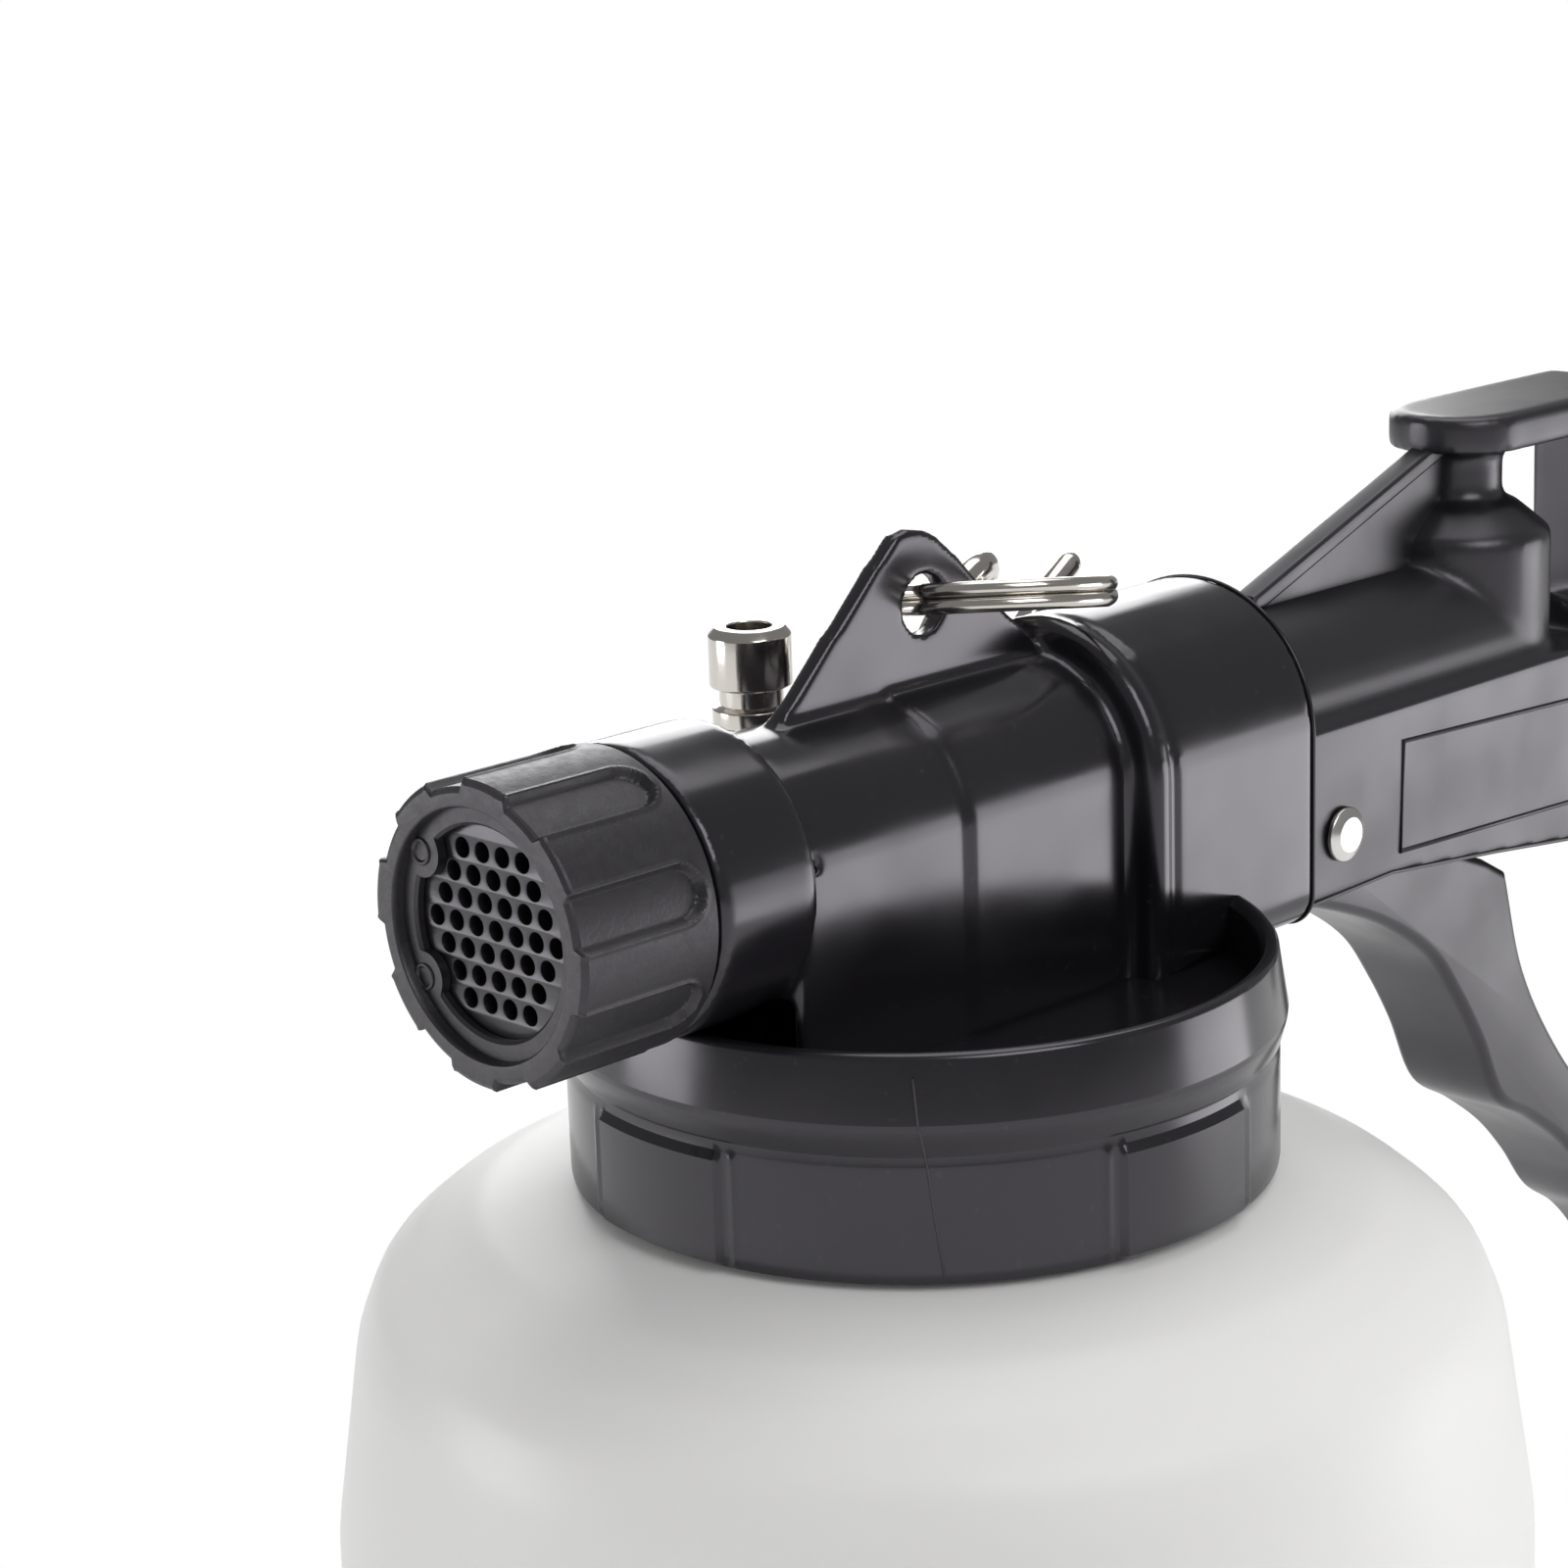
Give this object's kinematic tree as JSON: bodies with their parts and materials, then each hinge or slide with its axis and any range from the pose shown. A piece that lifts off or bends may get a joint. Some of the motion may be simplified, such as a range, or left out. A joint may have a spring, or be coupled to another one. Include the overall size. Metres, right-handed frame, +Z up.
{
  "type": "vacuum fluid extractor",
  "caption": "Air-operated venturi head with pistol grip, trigger, wire hook and clear dip tube on a round white bottle.",
  "frame": {"origin": "centre of the bottle's base, on the floor", "axes": "+Z up the bottle and through the cap; +X towards the silencer, so the grip points to -X; +Y to the left of the silencer"},
  "size_m": [0.3154, 0.128, 0.248],
  "materials": {
    "gloss_black": "moulded, glossy",
    "satin_black": "moulded, semi-matt",
    "matt_black": "moulded, fine leathery texture",
    "rubber": "plain",
    "white_plastic": "white, slightly translucent, satin",
    "clear_tube": "clear and flexible",
    "nickel": "nickel plated",
    "steel": "plain",
    "brass": "turned",
    "felt": "felt"
  },
  "bodies": {
    "bottle": {"bottle": "white_plastic"},
    "seal": {"neck_seal": "rubber"},
    "head": {"venturi_head": "gloss_black", "air_nozzle": "brass", "nozzle_oring": "rubber", "mixing_tube": "white_plastic", "silencer_cap": "matt_black", "silencer_grille": "satin_black", "silencer_pad": "felt", "fitting_seal": "rubber", "hose_fitting": "nickel", "dip_tube": "clear_tube", "gun_body": "satin_black", "body_oring": "rubber", "inlet_seal": "rubber", "inlet_fitting": "brass", "inlet_screen": "steel", "valve_seat": "brass", "stem_oring": "rubber", "valve_spring": "steel", "trigger_pin": "steel"},
    "valve": {"valve_stem": "steel"},
    "trigger": {"trigger": "satin_black"},
    "clip": {"trigger_clip": "nickel"},
    "ring": {"split_ring": "nickel"},
    "hook": {"hang_hook": "nickel"}
  },
  "joints": [
    {"name": "head_lift", "type": "slide", "parent": "bottle", "child": "seal", "axis": [0, 0, 1], "range_m": [0, 0.15]},
    {"name": "head_turn", "type": "hinge", "parent": "seal", "child": "head", "pos_m": [0, 0, 0.19], "axis": [0, 0, 1], "continuous": true},
    {"name": "trigger_pull", "type": "hinge", "parent": "head", "child": "trigger", "pos_m": [-0.0557, 0, 0.20592], "axis": [0, 1, 0], "range_deg": [0, 22], "stiffness_Nm_per_rad": 0.5, "springref_deg": -17.19},
    {"name": "valve_lift", "type": "slide", "parent": "head", "child": "valve", "axis": [0, 0, 1], "range_m": [0, 0.0064], "deforming": ["valve_spring"]},
    {"name": "clip_swing", "type": "hinge", "parent": "head", "child": "clip", "pos_m": [-0.2075, 0, 0.1605], "axis": [0, 1, 0], "range_deg": [-78, 60]},
    {"name": "ring_swing", "type": "hinge", "parent": "head", "child": "ring", "pos_m": [-0.001, 0, 0.24], "axis": [0, 1, 0], "range_deg": [0, 95]},
    {"name": "hook_swing", "type": "hinge", "parent": "ring", "child": "hook", "pos_m": [-0.01698, -0.009, 0.2366], "axis": [-0.8202, 0.5721, 0], "range_deg": [0, 40]}
  ],
  "couplings": [
    {"joint": "valve_lift", "follows": "trigger_pull", "m_per_rad": 0.016504}
  ]
}
